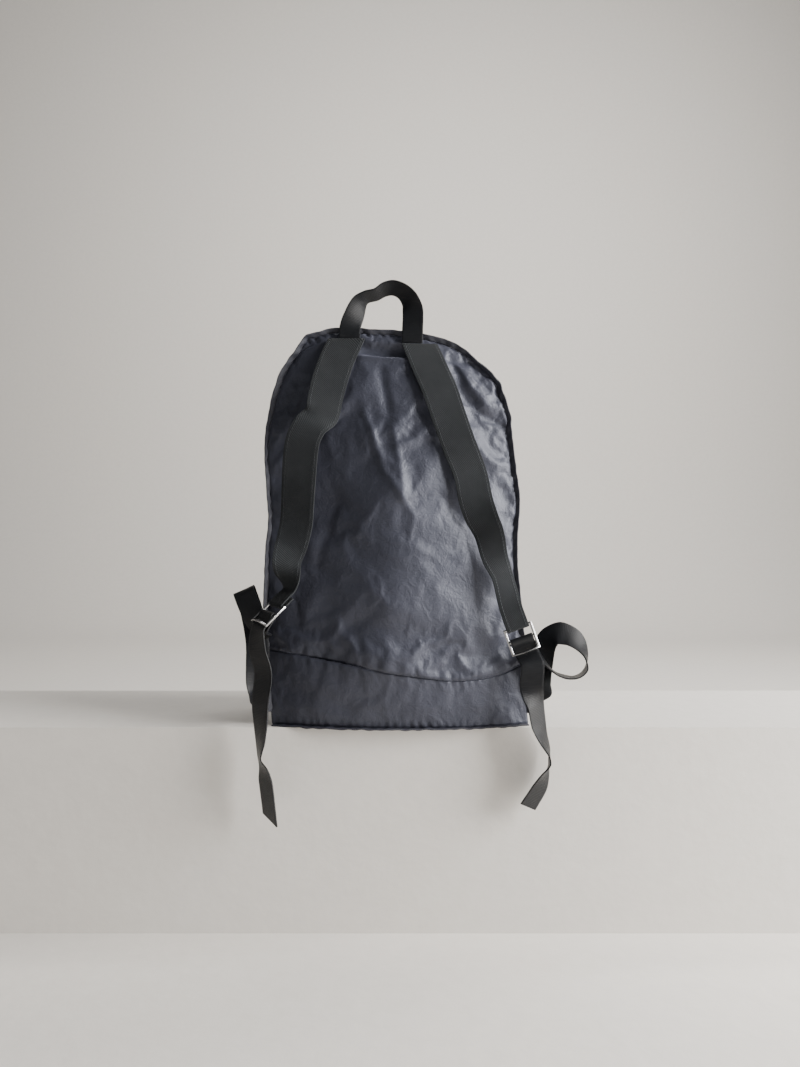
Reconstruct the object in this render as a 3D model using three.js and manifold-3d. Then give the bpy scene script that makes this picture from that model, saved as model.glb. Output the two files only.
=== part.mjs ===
// A packable backpack of thin nylon, standing upright, empty but holding its shape.
// Millimetres, +Z up. The origin is the middle of the underside of the base.
// -Y is the harness side, which rests on the wearer's back and carries the straps,
// and +X is on the right of somebody who looks at that side.

import * as THREE from 'three';
import { mergeVertices } from 'three/addons/utils/BufferGeometryUtils.js';
import Module from 'manifold-3d';

const wasm = await Module();
wasm.setup();

// Driving dimensions of the body
const bodyHeight = 428;
const bodyWidth = 276;
const bodyDepth = 140;
const clothWall = 1.2;
const clearance = 0.4;
const foldDepth = 6;
const gatherDepth = 1.2;
const gatherPitch = 19;
const gatherReach = 15;
const gussetBulge = 4;
const swellSide = 2.4;
const swellTop = 6;
const foldEndSide = 8;
const foldEndTop = 60;
const frontShare = 0.95;
const frontDrop = 8;
const bandShare = 0.16;

// Driving dimensions of the trim
const bindingWidth = 4.5;
const bindingThickness = 1.6;
const bindingRuffle = 0.9;
const ruffleTurn = 2.1;
const bindingStandOff = 0.6;
const zipWidth = 20;
const zipTapeThickness = 1;
const teethWidth = 5;
const teethThickness = 1.6;
const sliderWidth = 9;
const sliderLength = 12;
const sliderThickness = 3;
const pullLength = 32;

// Driving dimensions of the harness
const strapWidth = 38;
const strapThickness = 1.8;
const strapStandOff = 13;
const webbingWidth = 25;
const webbingThickness = 1.4;
const handleWidth = 23;
const handleRise = 58;
const slackReach = 72;
const rightTailDrop = 174;
const leftTailDrop = 213;
const anchorHeight = 34;
const buckleHeight = 30;
const buckleBar = 3;
const buckleDepth = 2.6;
const buckleBow = 3;

// The body's outline seen from the harness side, from the base to the top: up is a share
// of the height, and left and right are where the side seams run, as shares of the width
const outline = [
  { up: 0.00, left: -0.499, right: 0.503 },
  { up: 0.05, left: -0.504, right: 0.497 },
  { up: 0.14, left: -0.513, right: 0.486 },
  { up: 0.30, left: -0.520, right: 0.466 },
  { up: 0.44, left: -0.514, right: 0.450 },
  { up: 0.51, left: -0.503, right: 0.458 },
  { up: 0.57, left: -0.508, right: 0.464 },
  { up: 0.65, left: -0.518, right: 0.450 },
  { up: 0.72, left: -0.521, right: 0.437 },
  { up: 0.77, left: -0.512, right: 0.432 },
  { up: 0.82, left: -0.497, right: 0.415 },
  { up: 0.87, left: -0.480, right: 0.388 },
  { up: 0.90, left: -0.460, right: 0.352 },
  { up: 0.93, left: -0.430, right: 0.304 },
  { up: 0.96, left: -0.398, right: 0.304 },
  { up: 0.99, left: -0.366, right: 0.304 },
];

// The body's depth at the same heights, as shares of the depth: the seams' place in front
// of the middle, how far the harness side swells past them, the hidden front's seams and
// how far the front swells past those
const depths = [
  { up: 0.00, seamLeft: 0.36, seamRight: 0.34, crown: 0.15, front: 0.33, belly: 0.10 },
  { up: 0.05, seamLeft: 0.36, seamRight: 0.33, crown: 0.18, front: 0.35, belly: 0.13 },
  { up: 0.14, seamLeft: 0.35, seamRight: 0.31, crown: 0.21, front: 0.36, belly: 0.16 },
  { up: 0.30, seamLeft: 0.33, seamRight: 0.27, crown: 0.23, front: 0.34, belly: 0.17 },
  { up: 0.44, seamLeft: 0.31, seamRight: 0.24, crown: 0.23, front: 0.31, belly: 0.16 },
  { up: 0.51, seamLeft: 0.30, seamRight: 0.22, crown: 0.23, front: 0.30, belly: 0.15 },
  { up: 0.57, seamLeft: 0.29, seamRight: 0.21, crown: 0.22, front: 0.28, belly: 0.14 },
  { up: 0.65, seamLeft: 0.28, seamRight: 0.20, crown: 0.21, front: 0.26, belly: 0.13 },
  { up: 0.72, seamLeft: 0.27, seamRight: 0.19, crown: 0.20, front: 0.23, belly: 0.12 },
  { up: 0.77, seamLeft: 0.26, seamRight: 0.19, crown: 0.18, front: 0.21, belly: 0.11 },
  { up: 0.82, seamLeft: 0.25, seamRight: 0.19, crown: 0.17, front: 0.19, belly: 0.10 },
  { up: 0.87, seamLeft: 0.24, seamRight: 0.19, crown: 0.16, front: 0.16, belly: 0.09 },
  { up: 0.90, seamLeft: 0.23, seamRight: 0.19, crown: 0.15, front: 0.15, belly: 0.08 },
  { up: 0.93, seamLeft: 0.22, seamRight: 0.19, crown: 0.14, front: 0.14, belly: 0.07 },
  { up: 0.96, seamLeft: 0.22, seamRight: 0.19, crown: 0.13, front: 0.12, belly: 0.06 },
  { up: 0.99, seamLeft: 0.22, seamRight: 0.19, crown: 0.12, front: 0.11, belly: 0.05 },
];

// The top edge and the curved seam of the lower band, from the left seam at across -1
// to the right seam at 1, as shares of the height
const topEdge = [
  { across: -1.00, up: 0.988 },
  { across: -0.62, up: 1.004 },
  { across: -0.38, up: 1.002 },
  { across: 0.11, up: 0.997 },
  { across: 0.37, up: 0.989 },
  { across: 0.56, up: 0.980 },
  { across: 0.78, up: 0.963 },
  { across: 1.00, up: 0.925 },
];
const bandSeam = [
  { across: -1.00, up: 0.192 },
  { across: -0.40, up: 0.164 },
  { across: 0.05, up: 0.138 },
  { across: 0.50, up: 0.119 },
  { across: 0.75, up: 0.126 },
  { across: 1.00, up: 0.152 },
];

// Ridges and creases of the harness side, each a straight run. from and to are its ends as
// shares of the body's width and height, width a share of the body's width, and height a
// share of the fold depth, below nought for a crease that sinks in.
const folds = [
  { name: 'tuck under the top seam', from: [-0.17, 0.956], to: [0.05, 0.950], height: -1.3, width: 0.020 },
  { name: 'lip under the tuck', from: [-0.16, 0.934], to: [0.03, 0.928], height: 0.4, width: 0.02 },
  { name: 'ridge by the left strap', from: [-0.21, 0.882], to: [-0.14, 0.838], height: 0.4, width: 0.024 },
  { name: 'upright crease', from: [-0.07, 0.90], to: [-0.05, 0.785], height: -0.6, width: 0.024 },
  { name: 'long ridge, upper', from: [-0.14, 0.76], to: [-0.005, 0.60], height: 0.5, width: 0.028 },
  { name: 'long ridge, lower', from: [-0.005, 0.60], to: [0.055, 0.52], height: 0.4, width: 0.028 },
  { name: 'ridge beside it', from: [-0.02, 0.735], to: [0.015, 0.585], height: 0.4, width: 0.026 },
  { name: 'bulge down the middle', from: [-0.01, 0.72], to: [-0.06, 0.20], height: 1.5, width: 0.15 },
  { name: 'sag left of the bulge', from: [-0.25, 0.66], to: [-0.27, 0.26], height: -1.2, width: 0.13 },
  { name: 'pinch by the right strap', from: [0.22, 0.54], to: [0.36, 0.47], height: -0.7, width: 0.03 },
  { name: 'pinch under it', from: [0.26, 0.49], to: [0.38, 0.43], height: -0.5, width: 0.028 },
  { name: 'right shoulder crease', from: [0.20, 0.88], to: [0.30, 0.80], height: -0.8, width: 0.024 },
  { name: 'right shoulder ridge', from: [0.25, 0.90], to: [0.35, 0.81], height: 0.6, width: 0.03 },
  { name: 'crease past the right strap', from: [0.29, 0.76], to: [0.38, 0.70], height: -0.6, width: 0.024 },
  { name: 'fold at the right seam', from: [0.33, 0.64], to: [0.44, 0.60], height: -0.7, width: 0.026 },
  { name: 'slack of the band', from: [0.22, 0.085], to: [0.40, 0.082], height: -0.3, width: 0.03 },
  { name: 'band crease at the left', from: [-0.44, 0.10], to: [-0.20, 0.06], height: -0.4, width: 0.03 },
];

// Routes of the shoulder straps down the harness side. across and up place the middle
// of the strap as shares of the body's width and height, off is its distance from the
// cloth as a share of the stand-off, turn is its turn about its own run in degrees, and
// wide is a share of the strap's width.
const leftStrapRoute = [
  { across: -0.212, up: 0.983, off: 0.14, turn: 0, wide: 1.00 },
  { across: -0.247, up: 0.925, off: 0.45, turn: 6, wide: 1.00 },
  { across: -0.272, up: 0.869, off: 0.70, turn: 12, wide: 1.00 },
  { across: -0.290, up: 0.817, off: 0.85, turn: 18, wide: 0.98 },
  { across: -0.302, up: 0.778, off: 0.95, turn: 20, wide: 0.96 },
  { across: -0.340, up: 0.752, off: 1.50, turn: 14, wide: 0.96 },
  { across: -0.368, up: 0.715, off: 1.75, turn: 10, wide: 0.96 },
  { across: -0.380, up: 0.670, off: 1.60, turn: 8, wide: 0.97 },
  { across: -0.386, up: 0.620, off: 1.35, turn: 6, wide: 0.97 },
  { across: -0.391, up: 0.565, off: 1.20, turn: 4, wide: 0.97 },
  { across: -0.397, up: 0.505, off: 1.15, turn: 8, wide: 0.95 },
  { across: -0.414, up: 0.455, off: 1.30, turn: 18, wide: 0.90 },
  { across: -0.430, up: 0.412, off: 1.55, turn: 34, wide: 0.80 },
];
const rightStrapRoute = [
  { across: 0.078, up: 0.970, off: 0.16, turn: 0, wide: 1.00 },
  { across: 0.117, up: 0.904, off: 0.50, turn: -4, wide: 1.00 },
  { across: 0.155, up: 0.843, off: 0.80, turn: -6, wide: 1.00 },
  { across: 0.188, up: 0.778, off: 1.00, turn: -8, wide: 0.98 },
  { across: 0.226, up: 0.707, off: 1.00, turn: -14, wide: 0.96 },
  { across: 0.272, up: 0.630, off: 1.00, turn: -12, wide: 0.95 },
  { across: 0.292, up: 0.565, off: 1.05, turn: -20, wide: 0.95 },
  { across: 0.314, up: 0.523, off: 1.15, turn: -32, wide: 0.92 },
  { across: 0.342, up: 0.485, off: 1.20, turn: -38, wide: 0.85 },
  { across: 0.366, up: 0.423, off: 1.25, turn: -22, wide: 0.74 },
  { across: 0.393, up: 0.380, off: 1.35, turn: -10, wide: 0.66 },
];

// The grab handle, from its left foot to its right one: across is a share of the body's
// width, rise a share of the handle's rise above the top of the body, and the last three
// columns are the direction across the webbing.
const handleRoute = [
  { across: -0.200, rise: -0.13, x: 1.00, y: 0.00, z: -0.08 },
  { across: -0.200, rise: 0.05, x: 1.00, y: 0.05, z: -0.10 },
  { across: -0.182, rise: 0.30, x: 0.85, y: 0.40, z: -0.35 },
  { across: -0.160, rise: 0.54, x: 0.50, y: 0.78, z: -0.40 },
  { across: -0.138, rise: 0.64, x: 0.12, y: 0.93, z: -0.33 },
  { across: -0.094, rise: 0.70, x: 0.10, y: 0.93, z: -0.30 },
  { across: -0.062, rise: 0.79, x: 0.12, y: 0.90, z: -0.38 },
  { across: -0.028, rise: 0.82, x: 0.10, y: 0.85, z: -0.45 },
  { across: 0.006, rise: 0.76, x: -0.10, y: 0.80, z: -0.55 },
  { across: 0.036, rise: 0.61, x: -0.60, y: 0.65, z: -0.45 },
  { across: 0.050, rise: 0.42, x: -0.97, y: 0.22, z: -0.08 },
  { across: 0.050, rise: 0.05, x: -1.00, y: 0.05, z: 0.10 },
  { across: 0.048, rise: -0.22, x: -1.00, y: 0.00, z: 0.10 },
];

// The slack loops of the adjuster webbing, from the side seam to the buckle. out, back
// and up are measured from the buckle's middle as shares of the slack reach, and x, y
// and z are the direction across the webbing.
const rightSlackRoute = [
  { out: 0.310, back: 0.260, up: -0.680, x: -0.55, y: 0.10, z: 0.80 },
  { out: 0.370, back: 0.400, up: -0.370, x: -0.90, y: 0.07, z: 0.30 },
  { out: 0.430, back: 0.400, up: -0.100, x: -0.50, y: 0.30, z: 0.80 },
  { out: 0.563, back: 0.361, up: 0.033, x: -0.05, y: 0.45, z: 0.89 },
  { out: 0.743, back: 0.333, up: 0.019, x: 0.10, y: 0.50, z: 0.86 },
  { out: 0.896, back: 0.292, up: -0.092, x: 0.35, y: 0.70, z: 0.60 },
  { out: 1.000, back: 0.250, up: -0.300, x: 0.30, y: 0.95, z: 0.10 },
  { out: 0.979, back: 0.208, up: -0.494, x: 0.10, y: 0.99, z: -0.10 },
  { out: 0.854, back: 0.180, up: -0.585, x: 0.00, y: 1.00, z: -0.10 },
  { out: 0.688, back: 0.167, up: -0.585, x: 0.00, y: 1.00, z: 0.00 },
  { out: 0.521, back: 0.167, up: -0.522, x: 0.05, y: 1.00, z: 0.00 },
  { out: 0.354, back: 0.167, up: -0.356, x: 0.30, y: 0.95, z: 0.00 },
  { out: 0.210, back: 0.160, up: -0.250, x: 0.75, y: 0.60, z: 0.15 },
];
const leftSlackRoute = [
  { out: -0.200, back: 0.230, up: -0.800, x: 0.80, y: 0.20, z: 0.55 },
  { out: -0.210, back: 0.280, up: -0.460, x: 0.97, y: 0.20, z: 0.10 },
  { out: -0.290, back: 0.370, up: -0.080, x: 0.90, y: 0.10, z: 0.30 },
  { out: -0.390, back: 0.450, up: 0.200, x: 0.83, y: -0.10, z: 0.55 },
  { out: -0.435, back: 0.420, up: 0.315, x: 0.83, y: -0.10, z: 0.55 },
  { out: -0.425, back: 0.360, up: 0.290, x: 0.83, y: -0.10, z: 0.55 },
  { out: -0.370, back: 0.310, up: 0.170, x: 0.83, y: -0.15, z: 0.55 },
  { out: -0.300, back: 0.270, up: 0.020, x: 0.83, y: -0.20, z: 0.52 },
  { out: -0.220, back: 0.220, up: -0.150, x: 0.75, y: -0.45, z: 0.40 },
  { out: -0.130, back: 0.190, up: -0.260, x: 0.60, y: -0.75, z: 0.20 },
];

// The free tails, measured from the buckle's middle as shares of the tail's drop
const rightTailRoute = [
  { out: 0.058, back: -0.034, up: -0.148, x: 1.00, y: 0.00, z: 0.10 },
  { out: 0.052, back: -0.046, up: -0.297, x: 1.00, y: 0.00, z: 0.00 },
  { out: 0.076, back: -0.052, up: -0.387, x: 0.80, y: 0.60, z: 0.00 },
  { out: 0.094, back: -0.052, up: -0.507, x: 0.70, y: 0.70, z: 0.00 },
  { out: 0.124, back: -0.052, up: -0.597, x: 0.45, y: 0.88, z: 0.10 },
  { out: 0.157, back: -0.052, up: -0.675, x: 0.20, y: 0.97, z: 0.10 },
  { out: 0.160, back: -0.052, up: -0.729, x: 0.10, y: 0.99, z: 0.00 },
  { out: 0.135, back: -0.052, up: -0.800, x: 0.48, y: 0.87, z: -0.05 },
  { out: 0.100, back: -0.052, up: -0.884, x: 0.74, y: 0.62, z: -0.20 },
  { out: 0.028, back: -0.052, up: -1.000, x: 0.80, y: 0.55, z: -0.30 },
];
const leftTailRoute = [
  { out: -0.050, back: -0.020, up: -0.175, x: 0.80, y: -0.55, z: 0.00 },
  { out: -0.022, back: -0.020, up: -0.281, x: 0.82, y: -0.55, z: 0.00 },
  { out: -0.037, back: -0.020, up: -0.432, x: 0.78, y: -0.60, z: 0.00 },
  { out: -0.035, back: -0.020, up: -0.520, x: 0.70, y: -0.70, z: 0.00 },
  { out: -0.037, back: -0.020, up: -0.622, x: 0.50, y: -0.86, z: 0.00 },
  { out: -0.042, back: -0.020, up: -0.695, x: 0.30, y: -0.95, z: 0.00 },
  { out: -0.022, back: -0.020, up: -0.748, x: 0.50, y: -0.86, z: 0.00 },
  { out: -0.012, back: -0.020, up: -0.806, x: 0.68, y: -0.72, z: -0.10 },
  { out: 0.007, back: -0.020, up: -0.952, x: 0.66, y: -0.70, z: -0.15 },
  { out: 0.012, back: -0.020, up: -1.000, x: 0.66, y: -0.70, z: -0.20 },
];

// Where the buckles hang: out and up are shares of the body's width and height, fore a
// share of its depth. barX to barZ is the run of the bars, upX to upZ points up the strap.
const buckles = {
  left: { out: -0.496, fore: 0.586, up: 0.2885, bar: [0.62, -0.77, -0.10], along: [0.62, 0.42, 0.66] },
  right: { out: 0.4656, fore: 0.500, up: 0.2234, bar: [0.94, 0.00, 0.34], along: [-0.34, 0.00, 0.94] },
};

// Counts that set how finely the cloth is divided
const counts = { bandRows: 3, upperRows: 15, topColumns: 14, gussetColumns: 3, baseRows: 4, zipStart: 8 };
const rowCrowding = 1.3;
const ribbonStep = 9;

const finishes = {
  nylon: { color: 0x2c2f3b, roughness: 0.42, metalness: 0 },
  binding: { color: 0x14161c, roughness: 0.6, metalness: 0 },
  twill: { color: 0x1d2023, roughness: 0.9, metalness: 0 },
  webbing: { color: 0x0d0f13, roughness: 0.6, metalness: 0 },
  metal: { color: 0x9a9da2, roughness: 0.25, metalness: 1 },
  zip: { color: 0x101115, roughness: 0.5, metalness: 0 },
};

const pack = new THREE.Group();

const mix = THREE.MathUtils.lerp;
const clamp = THREE.MathUtils.clamp;
const point = (x, y, z) => new THREE.Vector3(x, y, z);

// Smooth value of one column of a table between its rows, which rise by their key
function along(table, key, column, at) {
  const last = table.length - 1;
  if (at <= table[0][key]) return table[0][column];
  if (at >= table[last][key]) return table[last][column];
  const i = table.findIndex((row) => row[key] > at) - 1;
  const slope = (k) => (table[k + 1][column] - table[k][column]) / (table[k + 1][key] - table[k][key]);
  const tangent = (k) => {
    if (k === 0) return slope(0);
    if (k === last) return slope(last - 1);
    const before = slope(k - 1);
    const after = slope(k);
    return before * after <= 0 ? 0 : (2 * before * after) / (before + after);
  };
  const step = table[i + 1][key] - table[i][key];
  const t = (at - table[i][key]) / step;
  const rise = t * t * (3 - 2 * t);
  const bend = t * (1 - t) * ((1 - t) * tangent(i) - t * tangent(i + 1)) * step;
  return mix(table[i][column], table[i + 1][column], rise) + bend;
}

// Adds a closed solid to the pack, turning its faces outwards if they point in
function addSolid(name, finish, points, triangles) {
  let volume = 0;
  for (const [a, b, c] of triangles) {
    volume += points[a].dot(new THREE.Vector3().crossVectors(points[b], points[c]));
  }
  const faces = volume < 0 ? triangles.map(([a, b, c]) => [a, c, b]) : triangles;
  const geometry = new THREE.BufferGeometry().setFromPoints(points);
  geometry.setIndex(faces.flat());
  geometry.computeVertexNormals();
  addMesh(name, finish, geometry);
}

function addMesh(name, finish, geometry) {
  const mesh = new THREE.Mesh(geometry, new THREE.MeshStandardMaterial(finishes[finish]));
  mesh.name = name;
  pack.add(mesh);
}

// A cloth wall: a grid of points on its outer face, and the same grid moved in by the
// wall. outer gives the point of a column and a row, and the grid's columns cross its
// rows so that the outer face is seen with the rows running up and the columns right.
function addCloth(name, finish, columns, rows, outer, wall) {
  const grid = [];
  for (let j = 0; j <= rows; j += 1) {
    for (let i = 0; i <= columns; i += 1) grid.push(outer(i, j));
  }
  const at = (i, j) => j * (columns + 1) + i;
  const spot = (i, j) => grid[at(clamp(i, 0, columns), clamp(j, 0, rows))];
  const inner = [];
  for (let j = 0; j <= rows; j += 1) {
    for (let i = 0; i <= columns; i += 1) {
      const right = spot(i + 1, j).clone().sub(spot(i - 1, j));
      const up = spot(i, j + 1).clone().sub(spot(i, j - 1));
      inner.push(spot(i, j).clone().addScaledVector(right.cross(up).normalize(), -wall));
    }
  }
  const depth = grid.length;
  const triangles = [];
  const quad = (a, b, c, d) => triangles.push([a, b, c], [a, c, d]);
  for (let j = 0; j < rows; j += 1) {
    for (let i = 0; i < columns; i += 1) {
      quad(at(i, j), at(i + 1, j), at(i + 1, j + 1), at(i, j + 1));
      quad(at(i, j + 1) + depth, at(i + 1, j + 1) + depth, at(i + 1, j) + depth, at(i, j) + depth);
    }
  }
  for (let i = 0; i < columns; i += 1) {
    quad(at(i + 1, 0), at(i, 0), at(i, 0) + depth, at(i + 1, 0) + depth);
    quad(at(i, rows), at(i + 1, rows), at(i + 1, rows) + depth, at(i, rows) + depth);
  }
  for (let j = 0; j < rows; j += 1) {
    quad(at(0, j), at(0, j + 1), at(0, j + 1) + depth, at(0, j) + depth);
    quad(at(columns, j + 1), at(columns, j), at(columns, j) + depth, at(columns, j + 1) + depth);
  }
  addSolid(name, finish, grid.concat(inner), triangles);
}

// A strip of webbing or binding: each station has its middle, the direction across it,
// its width and its thickness, and slant moves the corners of a cut end along the strip.
function addStrip(name, finish, stations) {
  const points = [];
  stations.forEach((station, k) => {
    const before = stations[Math.max(k - 1, 0)].middle;
    const after = stations[Math.min(k + 1, stations.length - 1)].middle;
    const run = after.clone().sub(before).normalize();
    const side = station.across.clone().addScaledVector(run, -station.across.dot(run)).normalize();
    const face = new THREE.Vector3().crossVectors(run, side);
    for (const [s, f] of [[-1, -1], [1, -1], [1, 1], [-1, 1]]) {
      points.push(station.middle.clone()
        .addScaledVector(side, s * station.width / 2)
        .addScaledVector(run, s * (station.slant ?? 0))
        .addScaledVector(face, f * station.thickness / 2));
    }
  });
  const triangles = [[0, 1, 2], [0, 2, 3]];
  for (let k = 1; k < stations.length; k += 1) {
    for (let c = 0; c < 4; c += 1) {
      const a = 4 * (k - 1) + c;
      const b = 4 * (k - 1) + (c + 1) % 4;
      triangles.push([a, a + 4, b + 4], [a, b + 4, b]);
    }
  }
  const end = 4 * (stations.length - 1);
  triangles.push([end, end + 2, end + 1], [end, end + 3, end + 2]);
  addSolid(name, finish, points, triangles);
}

// Stations on a smooth curve through the chosen ones, about one step apart
function smoothStations(chosen, step) {
  const middles = new THREE.CatmullRomCurve3(chosen.map((station) => station.middle), false, 'centripetal');
  const sides = new THREE.CatmullRomCurve3(chosen.map((station) => station.across), false, 'catmullrom');
  const stations = [];
  for (let k = 0; k < chosen.length - 1; k += 1) {
    const gap = chosen[k].middle.distanceTo(chosen[k + 1].middle);
    const parts = Math.max(1, Math.round(gap / step));
    for (let p = 0; p < parts; p += 1) {
      const t = (k + p / parts) / (chosen.length - 1);
      stations.push({
        middle: middles.getPoint(t),
        across: sides.getPoint(t),
        width: mix(chosen[k].width, chosen[k + 1].width, p / parts),
        thickness: chosen[k].thickness,
      });
    }
  }
  stations.push(chosen[chosen.length - 1]);
  return stations;
}

// The body's shape

const floorHeight = clothWall + clearance;
const topHeight = (across) => along(topEdge, 'across', 'up', across) * bodyHeight;
const bandHeight = (across) => along(bandSeam, 'across', 'up', across) * bodyHeight;

// Share of its full swell that a cloth reaches, none at its edges
function domeAt(across, rise) {
  return (1 - Math.abs(across) ** swellSide) * Math.sqrt(1 - rise ** swellTop);
}

function foldAt(x, z) {
  let height = 0;
  for (const fold of folds) {
    const fromX = fold.from[0] * bodyWidth;
    const fromZ = fold.from[1] * bodyHeight;
    const runX = fold.to[0] * bodyWidth - fromX;
    const runZ = fold.to[1] * bodyHeight - fromZ;
    const share = clamp(((x - fromX) * runX + (z - fromZ) * runZ) / (runX * runX + runZ * runZ), 0, 1);
    const away = Math.hypot(x - fromX - share * runX, z - fromZ - share * runZ);
    height += fold.height * Math.exp(-((away / (fold.width * bodyWidth)) ** 2));
  }
  return height * foldDepth;
}

// Small gathers where the upper cloth is eased into the band and the band into the base
function gatherAt(x, z, seamHeight) {
  const toSeam = Math.exp(-(((z - seamHeight) / gatherReach) ** 2));
  const toBase = x < 0 ? Math.exp(-((z / gatherReach) ** 2)) : 0;
  return gatherDepth * (toSeam + toBase) * Math.sin((2 * Math.PI * x) / gatherPitch);
}

// A point of the harness side: across from -1 at the left seam to 1 at the right one,
// rise from 0 at the base over bandShare at the band's seam to 1 at the top edge
function harnessPoint(across, rise, folded = true) {
  const seamHeight = bandHeight(across);
  const z = rise < bandShare
    ? mix(floorHeight, seamHeight, rise / bandShare)
    : mix(seamHeight, topHeight(across), (rise - bandShare) / (1 - bandShare));
  const up = z / bodyHeight;
  const left = along(outline, 'up', 'left', up) * bodyWidth;
  const right = along(outline, 'up', 'right', up) * bodyWidth;
  const x = mix(left, right, (across + 1) / 2);
  const seamLeft = along(depths, 'up', 'seamLeft', up);
  const seamRight = along(depths, 'up', 'seamRight', up);
  const seam = mix(seamLeft, seamRight, (across + 1) / 2);
  const swell = along(depths, 'up', 'crown', up) * domeAt(across, rise);
  const inside = (1 - Math.abs(across) ** foldEndSide) * (1 - rise ** foldEndTop);
  const relief = folded ? (foldAt(x, z) + gatherAt(x, z, seamHeight)) * inside : 0;
  return point(x, -(seam + swell) * bodyDepth - relief, z);
}

// A point of the hidden front, with the same across and rise
function frontPoint(across, rise) {
  const z = mix(floorHeight, topHeight(across) - frontDrop, rise);
  const up = z / bodyHeight;
  const left = along(outline, 'up', 'left', up) * bodyWidth;
  const right = along(outline, 'up', 'right', up) * bodyWidth;
  const x = (left + right) / 2 + across * frontShare * (right - left) / 2;
  const y = along(depths, 'up', 'front', up) + along(depths, 'up', 'belly', up) * domeAt(across, rise);
  return point(x, y * bodyDepth, z);
}

// Shares of the rise at the rows of the cloth, closer together towards the top
const rises = [];
for (let k = 0; k < counts.bandRows; k += 1) rises.push((bandShare * k) / counts.bandRows);
for (let k = 0; k <= counts.upperRows; k += 1) {
  rises.push(1 - (1 - bandShare) * (1 - k / counts.upperRows) ** rowCrowding);
}
const sideRows = counts.bandRows + counts.upperRows;
const riseAt = (row) => mix(rises[Math.floor(row)], rises[Math.min(Math.floor(row) + 1, sideRows)], row % 1);

// The arch of the seam runs up the left side, over the top and down the right side
const archLength = 2 * sideRows + counts.topColumns;
function archSpot(k, inset = 0) {
  if (k <= sideRows) return [inset - 1, riseAt(k) * (k === sideRows ? 1 - inset : 1)];
  const right = archLength - k;
  if (right <= sideRows) return [1 - inset, riseAt(right) * (right === sideRows ? 1 - inset : 1)];
  return [-1 + (2 * (k - sideRows)) / counts.topColumns, 1 - inset];
}
const harnessArch = [];
const frontArch = [];
for (let k = 0; k <= archLength; k += 1) {
  harnessArch.push(harnessPoint(...archSpot(k)));
  frontArch.push(frontPoint(...archSpot(k)));
}
const onArch = (arch, k) => {
  const low = clamp(Math.floor(k), 0, archLength - 1);
  return arch[low].clone().lerp(arch[low + 1], k - low);
};

// Outward direction of the gusset at a station of the arch
function gussetOutward(k) {
  const run = onArch(harnessArch, Math.min(k + 1, archLength)).sub(onArch(harnessArch, Math.max(k - 1, 0)));
  const over = onArch(frontArch, k).sub(onArch(harnessArch, k));
  return run.cross(over).normalize();
}

// A point of the gusset, at a share of its width from the harness seam to the front seam
function gussetPoint(k, share, lift = 0) {
  const place = onArch(harnessArch, k).lerp(onArch(frontArch, k), share);
  const ends = Math.min(k, archLength - k);
  const bulge = gussetBulge * clamp(ends / counts.bandRows, 0, 1) * 4 * share * (1 - share);
  return place.addScaledVector(gussetOutward(k), bulge + lift);
}
const gussetWidth = (k) => onArch(harnessArch, k).distanceTo(onArch(frontArch, k));
const seamInset = clothWall + clearance;

// Cloth of the harness side. Every second point on an outer edge lies midway between its
// neighbours, so that the edge follows the coarser seam line of the other pieces.
function harnessSpot(column, row) {
  const across = -1 + column / counts.topColumns;
  const rise = riseAt(row / 2);
  return harnessPoint(across, rise);
}

function addHarnessSide() {
  const columns = 2 * counts.topColumns;
  const bandTop = 2 * counts.bandRows;
  const topRow = 2 * sideRows;
  const spot = (i, j) => {
    const sideEdge = i === 0 || i === columns;
    const levelEdge = j === 0 || j === topRow;
    if (sideEdge && j % 2 === 1) return harnessSpot(i, j - 1).lerp(harnessSpot(i, j + 1), 0.5);
    if (levelEdge && i % 2 === 1) return harnessSpot(i - 1, j).lerp(harnessSpot(i + 1, j), 0.5);
    return harnessSpot(i, j);
  };
  const raised = (i, j, edgeRow, shift) => {
    const place = spot(i, j);
    if (j === edgeRow) place.z += shift;
    return place;
  };
  const bandSpot = (i, j) => raised(i, j, bandTop, -clearance / 2);
  const panelSpot = (i, j) => raised(i, j + bandTop, bandTop, clearance / 2);
  addCloth('back_band', 'nylon', columns, bandTop, bandSpot, clothWall);
  addCloth('back_panel', 'nylon', columns, topRow - bandTop, panelSpot, clothWall);
}

function addFront() {
  const spot = (i, j) => frontPoint(1 - (2 * i) / counts.topColumns, rises[j]);
  addCloth('front_panel', 'nylon', counts.topColumns, sideRows, spot, clothWall);
}

function addBase() {
  const spot = (i, j) => {
    const across = 1 - (2 * i) / counts.topColumns;
    const place = harnessPoint(across, 0).lerp(frontPoint(across, 0), j / counts.baseRows);
    place.z = 0;
    return place;
  };
  addCloth('base_panel', 'nylon', counts.topColumns, counts.baseRows, spot, clothWall);
}

// The gusset: plain cloth low on each side, and over the top two strips with the zip
const zipEnd = archLength - counts.zipStart;
const joinGap = 0.04;

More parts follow.
